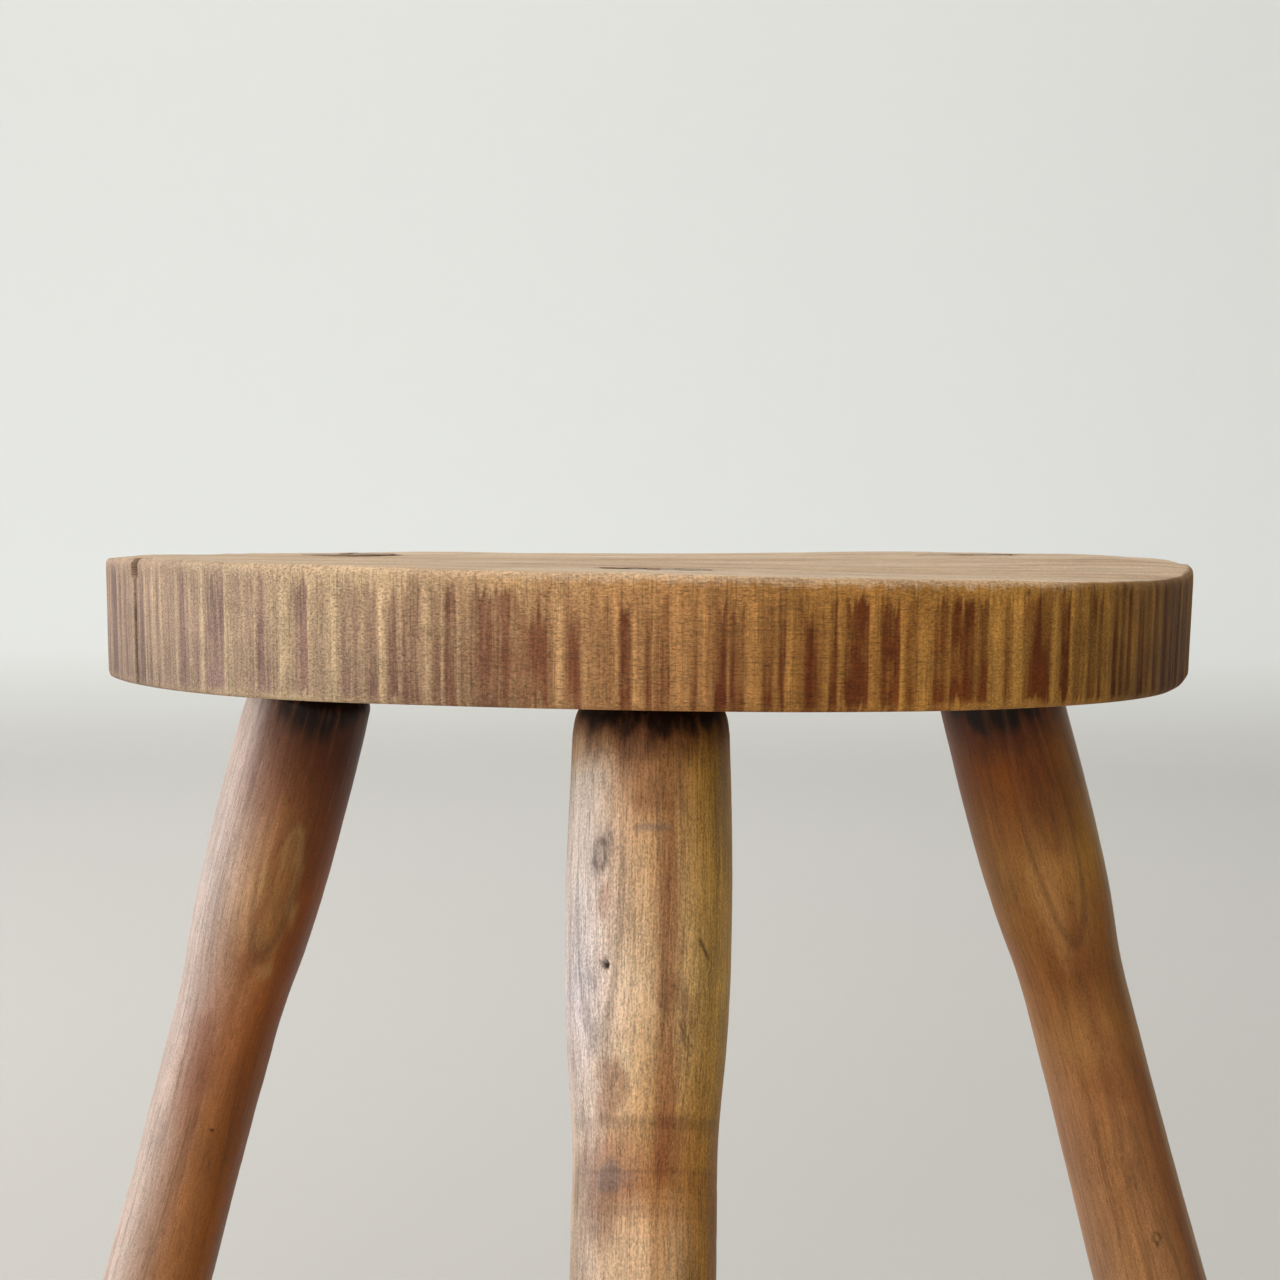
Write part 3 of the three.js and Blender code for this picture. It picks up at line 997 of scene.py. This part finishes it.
def leg_marks(side, turn, axial):
    """(marks, pits): coloured marks as (share, colour), and how deep the surface is pitted in mm."""
    brown, dark, grey = linear(120, 74, 42), linear(52, 28, 16), linear(112, 98, 92)
    red, golden, black = linear(128, 64, 34), linear(176, 120, 62), linear(22, 12, 8)

    def mark(at_turn, at_axial, across, along, seed, soft=0.5):
        return smudge(turn, axial, at_turn, at_axial, across, along, seed, soft)

    if side == "front":
        hole = mark(-30, 64, 1.7, 1.7, 1, 0.3)
        edge = mark(-27, 90.5, 11, 18, 2, 0.5) - mark(-27, 90.5, 9, 16, 2, 0.4)
        marks = [
            (0.50 * mark(12, 84, 7, 130, 3, 1.0), golden),
            (0.40 * mark(15, 50, 4, 50, 14, 0.9), red),
            (0.45 * mark(14, 96, 5, 34, 15, 1.0), red),
            (0.55 * mark(0, 12, 17, 30, 16, 0.9), brown),
            (0.45 * mark(16, 70, 6, 8, 17, 1.0), brown),
            (0.50 * mark(-36, 39.5, 5.5, 10, 4, 0.8), grey),
            (0.70 * (mark(-36, 39.5, 3.6, 7.5, 5) - mark(-36, 39.5, 2, 5, 5)), dark),
            (0.40 * mark(-32, 50, 3.2, 9, 6, 0.8), red),
            (0.50 * mark(0, 34, 7.5, 2.0, 7, 0.8), grey),
            (0.30 * mark(8, 28, 12, 6, 8, 1.2), brown),
            (0.35 * mark(32, 75, 5, 9, 9, 1.2), brown),
            (0.50 * mark(-27, 90.5, 9, 16, 10, 0.6), brown),
            (0.35 * np.clip(edge, 0, 1), linear(206, 184, 150)),
            (0.42 * mark(-22, 108, 20, 18, 11, 1.2), red),
            (0.45 * mark(20, 103, 12, 14, 18, 1.2), red),
            (0.65 * mark(-27, 110, 9, 7, 12, 0.9), grey),
            (0.30 * mark(-36, 118, 12, 14, 13, 0.9), brown),
            (0.30 * turning_lines(axial + 8.5) * mark(0, 103, 50, 30, 19, 1.0), dark),
            (0.85 * scratch(turn, axial, (37, 58.5), (44, 62), 0.5), dark),
            (0.50 * scratch(turn, axial, (22, 76.5), (33, 82), 0.45), dark),
            (0.45 * scratch(turn, axial, (24, 79.5), (32, 83.5), 0.45), dark),
            (0.95 * hole, black),
        ]
        return marks, 1.2 * hole
    if side == "left":
        dot = mark(23, 149, 1.6, 1.6, 21, 0.4)
        island = mark(26, 72, 11, 44, 22, 0.35)
        inside = mark(26, 72, 8.6, 39, 22, 0.35)
        marks = [
            (0.45 * mark(10, 30, 26, 30, 26, 1.3), linear(96, 46, 22)),
            (0.50 * inside, linear(160, 114, 62)),
            (0.55 * np.clip(island - inside, 0, 1), linear(206, 164, 104)),
            (0.45 * mark(14, 92, 10, 12, 23, 1.0), red),
            (0.40 * mark(12, 66, 3, 30, 27, 1.0), red),
            (0.22 * mark(34, 50, 14, 60, 24, 1.4), linear(84, 40, 16)),
            (0.40 * mark(-12, 130, 12, 34, 25, 1.2), red),
            (0.85 * dot, dark),
        ]
        return marks, 0.3 * dot
    ring = mark(11, 186, 3.4, 4.2, 31, 0.4) - mark(11, 186, 1.8, 2.4, 31, 0.4)
    marks = [
        (0.40 * mark(-10, 68, 7, 44, 32, 1.0), linear(196, 142, 86)),
        (0.30 * mark(22, 66, 6, 44, 33, 1.0), linear(186, 132, 72)),
        # A paler stripe down the whole right edge of the leg is a painted reflection.
        (0.55 * mark(84, 150, 15, 330, 37, 0.9), linear(162, 124, 68)),
        (0.45 * mark(8, 92, 4, 40, 36, 1.0), linear(150, 90, 44)),
        (0.45 * mark(5, 34, 26, 40, 34, 1.4), linear(104, 48, 20)),
        (0.40 * mark(6, 128, 22, 26, 35, 1.3), linear(124, 62, 28)),
        (0.60 * np.clip(ring, 0, 1), dark),
    ]
    return marks, 0.0 * axial


def leg_piece(side):
    rings, ends = leg_points(side)
    rows = len(rings)
    points = np.vstack([rings.reshape(-1, 3), *ends])
    faces = grid_faces(rows, AROUND)
    faces += fan_faces(np.arange(AROUND), rows * AROUND, flip=True)
    faces += fan_faces(np.arange(AROUND) + (rows - 1) * AROUND, rows * AROUND + 1)
    mesh = bpy.data.meshes.new(f"leg_{side}_rough")
    mesh.from_pydata(points.tolist(), [], faces)
    rough = bpy.data.objects.new(mesh.name, mesh)
    bpy.context.collection.objects.link(rough)
    cutter = wedge_block(side, KERF_SLACK, 4 * MM)
    cut = rough.modifiers.new("kerf", "BOOLEAN")
    cut.object = cutter
    cut.solver = "MANIFOLD"
    bpy.context.view_layer.update()
    shaped = rough.evaluated_get(bpy.context.evaluated_depsgraph_get()).to_mesh()
    points = np.array([vertex.co for vertex in shaped.vertices])
    faces = [list(polygon.vertices) for polygon in shaped.polygons]
    bpy.data.objects.remove(rough)
    bpy.data.objects.remove(cutter)

    turn, axial, reach = leg_places(side, points)
    front, right = leg_frame(side)[2:]
    shoulder = leg_profile(side)[0]
    seed = 300 + 20 * SIDES.index(side)
    solid = stack(np.sin(np.radians(turn)) * reach, np.cos(np.radians(turn)) * reach, axial)
    colour = leg_tone(side, turn, axial)
    streak = noise(solid, (3.2, 3.2, 60), seed, 3)
    cloud = noise(solid, (10, 10, 22), seed + 1, 3)
    colour *= (1 + 0.10 * streak + 0.12 * cloud)[:, None]
    marks, pits = leg_marks(side, turn, axial)
    for share, shade in marks:
        colour = blend(colour, shade, share)
    facing = np.cos(np.radians(turn))
    # Dirt and painted shade under the seat: the leg darkens to near black towards its top, further down on
    # its front.
    soot_and_shade = axial + 3.0 * noise(solid, (3, 3, 12), seed + 2, 3) - 12 * facing + 6.5
    soot_and_shade = (soot_and_shade + SOOT_AND_SHADE_LEAN[side] * np.clip(-np.sin(np.radians(turn)), 0, 1)) / SOOT_AND_SHADE_LENGTH[side]
    colour = blend(colour, linear(74, 33, 11), 0.72 * step(2.2, 0.9, soot_and_shade))
    colour = blend(colour, linear(24, 9, 3), 0.96 * step(1.2, 0.7, soot_and_shade))
    low = axial.max() - axial + 3 * noise(solid, (5, 5, 9), seed + 3, 2)
    colour = blend(colour, linear(74, 50, 34), 0.5 * step(12, 2, low))
    tenon = tenon_radius(side) / MM
    end = (axial < shoulder / MM) & (reach < tenon + 0.2)
    face = noise(solid, (2.2, 6, 50), seed + 4, 2)
    end_grain = blend(linear(178, 156, 132), linear(136, 112, 90), 0.5 + 0.5 * face)
    colour = np.where(end[:, None], end_grain, colour)
    rim = end * step(1.6, 0.2, tenon - reach)
    colour = blend(colour, linear(96, 72, 54), 0.45 * rim)
    outward = np.outer(np.sin(np.radians(turn)), right) + np.outer(np.cos(np.radians(turn)), front)
    points = points - (pits * MM)[:, None] * outward
    bark = math.radians(BARK_SIDE[side])
    layer = solid[:, 0] * math.sin(bark) + solid[:, 1] * math.cos(bark)
    layer = layer + 0.5 * noise(solid, (12, 12, 40), seed + 5, 2)
    tool = stack(layer * MM, axial * 0.12 * MM, step(4, 12, axial))
    gloss = 0.36 + 0.05 * cloud + 0.25 * step(20, 4, axial)
    wood = make_object(f"leg_{side}_wood", points, faces, colour, gloss, solid * MM, tool)
    wood.data.materials.append(leg_wood[side])
    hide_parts(f"leg_{side}")
    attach(wood, "root")


# ---------------------------------------------------------------- wedges

def wedge_sizes(side):
    """(across, along, top thickness, tip thickness, half width, top, tip) of the CAD wedge: two
    directions square to the leg's axis, and its sizes."""
    origin, down = leg_axis(side)
    across = np.cross((0.0, 1.0, 0.0), down)
    across /= np.linalg.norm(across)
    along = np.cross(down, across)
    away = cad_points(f"wedge_{side}") - origin
    axial = away @ down
    thick, wide = np.abs(away @ across), np.abs(away @ along)
    low = axial > axial.max() - 0.5 * MM
    high = axial < axial.max() - 20 * MM
    return across, along, thick[high].max(), thick[low].max(), wide.max(), axial.min(), axial.max()


def wedge_block(side, slack, above):
    """A plain tapered block that is slack bigger than the wedge all round and reaches above it."""
    origin, down = leg_axis(side)
    across, along, thick, thin, wide, top, tip = wedge_sizes(side)
    slope = (thick - thin) / (tip - top)
    corners = []
    for axial, half in ((top - above, thick + slope * above), (tip, thin)):
        lower = slack if axial == tip else 0.0
        for first, second in ((-1, -1), (1, -1), (1, 1), (-1, 1)):
            place = origin + down * (axial + lower)
            corners.append(place + across * first * (half + slack) + along * second * (wide + slack))
    mesh = bpy.data.meshes.new("kerf_cutter")
    faces = [(0, 1, 2, 3), (7, 6, 5, 4), (0, 4, 5, 1), (1, 5, 6, 2), (2, 6, 7, 3), (3, 7, 4, 0)]
    mesh.from_pydata([tuple(corner) for corner in corners], [], faces)
    block = bpy.data.objects.new("kerf_cutter", mesh)
    bpy.context.collection.objects.link(block)
    return block


WEDGE_AROUND = 120
WEDGE_ROWS = 60
CORNER_POWER = 9


def rounded_outline(half_thick, half_wide):
    """Points round a rectangle with slightly rounded corners, as (across, along)."""
    spread = np.linspace(0, 4, WEDGE_AROUND, endpoint=False)
    side, share = np.floor(spread).astype(int), spread % 1
    corners = np.array([(1, -1), (1, 1), (-1, 1), (-1, -1), (1, -1)], float)
    square = corners[side] + (corners[side + 1] - corners[side]) * share[:, None]
    reach = (np.abs(square) ** CORNER_POWER).sum(axis=1) ** (-1 / CORNER_POWER)
    return square * reach[:, None] * stack(half_thick, half_wide)


def wedge_piece(side):
    origin, down = leg_axis(side)
    across, along, thick, thin, wide, top, tip = wedge_sizes(side)
    height = tenon_top(side, 0.12 * MM)
    rows = []

    def ring(axial, shrink):
        share = np.broadcast_to(np.clip((axial - top) / (tip - top), 0, 1), (WEDGE_AROUND,))
        half = thick + (thin - thick) * share
        outline = rounded_outline(half, wide) * shrink
        place = origin + np.multiply.outer(np.broadcast_to(axial, half.shape), down)
        return place + outline[:, :1] * across + outline[:, 1:] * along

    for shrink in (0.15, 0.4, 0.65, 0.85, 0.94):
        rows.append(to_height(ring(top, shrink), down, height))
    edge = to_height(ring(top, 1.0), down, height)
    rows.append(edge + down * 0.2 * MM)
    first = (edge - origin) @ down + 0.5 * MM
    for share in np.linspace(0, 1, WEDGE_ROWS):
        rows.append(ring(first + (tip - first) * share, 1.0))
    rows.append(ring(tip, 0.6))
    rings = np.array(rows)
    ends = [to_height(origin[None], down, height), (origin + down * tip)[None]]
    points = np.vstack([rings.reshape(-1, 3), *ends])
    count = len(rings)
    faces = grid_faces(count, WEDGE_AROUND)
    faces += fan_faces(np.arange(WEDGE_AROUND), count * WEDGE_AROUND, flip=True)
    faces += fan_faces(np.arange(WEDGE_AROUND) + (count - 1) * WEDGE_AROUND, count * WEDGE_AROUND + 1)
    away = points - origin
    local = stack(away @ across, away @ along, away @ down)
    seed = 500 + SIDES.index(side)
    points = points + np.outer(0.05 * MM * noise(local, (1.2 * MM, 2.4 * MM, 9 * MM), seed, 2), across)
    tone = 0.5 + 0.5 * noise(local, (1.0 * MM, 3 * MM, 20 * MM), seed + 5, 2)
    colour = blend(linear(158, 120, 84), linear(104, 72, 48), tone)
    gloss = np.full(len(points), 0.55)
    wood = make_object(f"wedge_{side}_wood", points, faces, colour, gloss, local)
    wood.data.materials.append(wedge_wood)
    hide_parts(f"wedge_{side}")
    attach(wood, "root")


# The back legs are smoother and more worn than the front one.
leg_wood = {}
for side, contrast, fleck in (("front", 0.46, 0.32), ("left", 0.26, 0.3), ("right", 0.26, 0.3)):
    leg_wood[side] = old_wood(f"leg_{side}_wood", 0.25, fleck, 0.8, 0.45, 0.42, contrast=contrast,
                              shine=0.12, coat=0.18, tooled=0.35, tool_size=(0.9, 14))
wedge_wood = old_wood("wedge_wood", 0.25, 0.4, 0.4, 0.5)
for side in SIDES:
    leg_piece(side)
    wedge_piece(side)


# ---------------------------------------------------------------- camera, light and floor

def studio_bowl():
    """A plain pale floor that curves up into a wall all round, far from the stool."""
    floor_radius, bend, wall = 2.6, 1.2, 3.4
    section = [(0.0, 0.0), (0.6, 0.0), (1.4, 0.0), (floor_radius, 0.0)]
    for arc in np.linspace(0, math.pi / 2, 14)[1:]:
        section.append((floor_radius + bend * math.sin(arc), bend * (1 - math.cos(arc))))
    section.append((floor_radius + bend, wall))
    columns = 96
    turn = np.linspace(0, 2 * math.pi, columns, endpoint=False)
    rings = [stack(r * np.cos(turn), r * np.sin(turn), h) for r, h in section[1:]]
    points = np.vstack([[[0.0, 0.0, 0.0]], *rings])
    faces = fan_faces(np.arange(columns) + 1, 0)
    faces += grid_faces(len(rings), columns, first=1, flip=True)
    mesh = bpy.data.meshes.new("studio")
    mesh.from_pydata(points.tolist(), [], faces)
    mesh.shade_smooth()
    # The floor is painted darker than the wall, as painted shade low in the background.
    floor = blend(linear(195, 192, 187), linear(203, 201, 196),
                  step(0.8, 2.7, np.hypot(points[:, 0], points[:, 1])))
    paper = blend(floor, linear(230, 231, 228), step(0.0, 0.16, points[:, 2]))
    tint = np.hstack([paper, np.ones((len(points), 1))])
    mesh.attributes.new("paint", "FLOAT_COLOR", "POINT").data.foreach_set("color", tint.ravel())
    bowl = bpy.data.objects.new("studio", mesh)
    bpy.context.collection.objects.link(bowl)
    material = bpy.data.materials.new("studio_paper")
    material.use_nodes = True
    tree = material.node_tree
    shader = tree.nodes["Principled BSDF"]
    tree.links.new(attribute(tree, "paint", "Color"), shader.inputs["Base Color"])
    shader.inputs["Roughness"].default_value = 0.9
    shader.inputs["Specular IOR Level"].default_value = 0.1
    mesh.materials.append(material)


def softbox(name, place, aim, size, power, colour):
    light = bpy.data.lights.new(name, "AREA")
    light.shape = "RECTANGLE"
    light.size, light.size_y = size
    light.energy = power
    light.color = colour
    lamp = bpy.data.objects.new(name, light)
    lamp.location = place
    lamp.rotation_euler = (Vector(aim) - Vector(place)).to_track_quat("-Z", "Y").to_euler()
    bpy.context.collection.objects.link(lamp)


def camera():
    data = bpy.data.cameras.new("camera")
    data.lens = LENS
    data.sensor_width = SENSOR
    eye = bpy.data.objects.new("camera", data)
    turn = Matrix.Rotation(math.radians(90 - CAMERA_PITCH), 4, "X")
    turn = turn @ Matrix.Rotation(math.radians(CAMERA_ROLL), 4, "Z")
    eye.matrix_world = Matrix.Translation(Vector(SEAT) + Vector(CAMERA_OFFSET)) @ turn
    bpy.context.collection.objects.link(eye)
    bpy.context.scene.camera = eye


camera()
studio_bowl()
softbox("window", (-1.75, 0.25, 0.62), (0, 0, 0.24), (1.5, 1.3), 26, (1.0, 0.99, 0.98))
softbox("overhead", (-0.2, 0.2, 2.2), (0, 0.1, 0.2), (2.2, 2.2), 22, (1.0, 0.99, 0.97))
softbox("front_fill", (-0.9, -2.1, 0.8), (0, 0, 0.25), (1.4, 1.0), 19, (1.0, 0.98, 0.94))
softbox("wall_wash", (-0.9, 1.5, 2.6), (-0.9, 3.8, 0.5), (3.0, 1.0), 45, (1.0, 1.0, 1.0))

world = bpy.data.worlds.new("world")
world.use_nodes = True
world.node_tree.nodes["Background"].inputs["Color"].default_value = (0.95, 0.97, 1.0, 1)
world.node_tree.nodes["Background"].inputs["Strength"].default_value = 0.25
bpy.context.scene.world = world
bpy.context.scene.view_settings.view_transform = "Standard"

bpy.context.view_layer.update()
